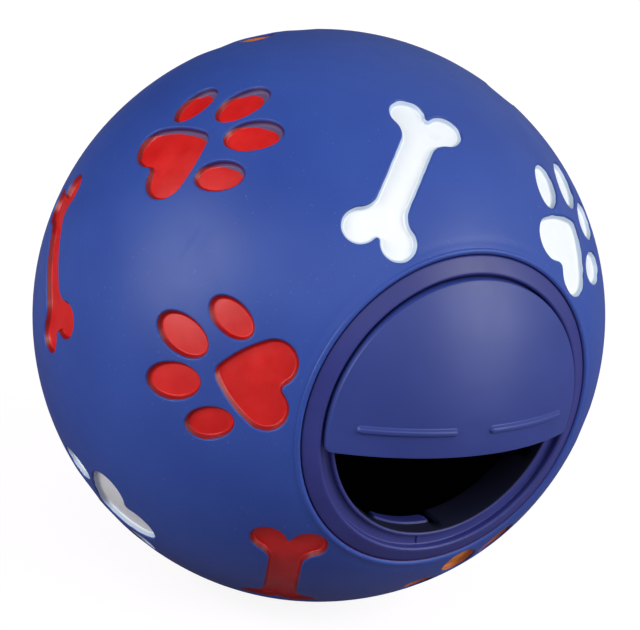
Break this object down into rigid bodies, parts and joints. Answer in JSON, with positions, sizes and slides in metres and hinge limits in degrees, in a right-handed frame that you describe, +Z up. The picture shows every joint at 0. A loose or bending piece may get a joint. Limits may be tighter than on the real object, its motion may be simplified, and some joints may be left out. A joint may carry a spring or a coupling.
{
  "type": "treat dispensing ball",
  "caption": "Hollow vinyl ball with debossed painted paw and bone motifs and a snap-in round insert whose half-disc shutter turns to open or close the treat opening.",
  "frame": {"origin": "centre of the ball", "axes": "+Z up, -Y out of the mouth along the shutter's pivot axis, +X along the shutter's straight edge at rest"},
  "size_m": [0.145, 0.1458, 0.145],
  "materials": {
    "ball_vinyl": "soft satin vinyl, self-coloured blue",
    "insert_plastic": "hard moulded plastic, satin violet blue",
    "shutter_plastic": "hard moulded plastic, satin violet blue",
    "red_paint": "semi-gloss red paint",
    "white_paint": "semi-gloss white paint",
    "orange_paint": "semi-gloss orange paint"
  },
  "bodies": {
    "ball": {"ball_shell": "ball_vinyl", "insert_ring": "insert_plastic", "red_paint": "red_paint", "white_paint": "white_paint", "orange_paint": "orange_paint"},
    "shutter": {"shutter": "shutter_plastic"}
  },
  "joints": [
    {"name": "shutter_turn", "type": "hinge", "parent": "ball", "child": "shutter", "pos_m": [0, -0.068, 0], "axis": [0, -1, 0], "continuous": true}
  ]
}
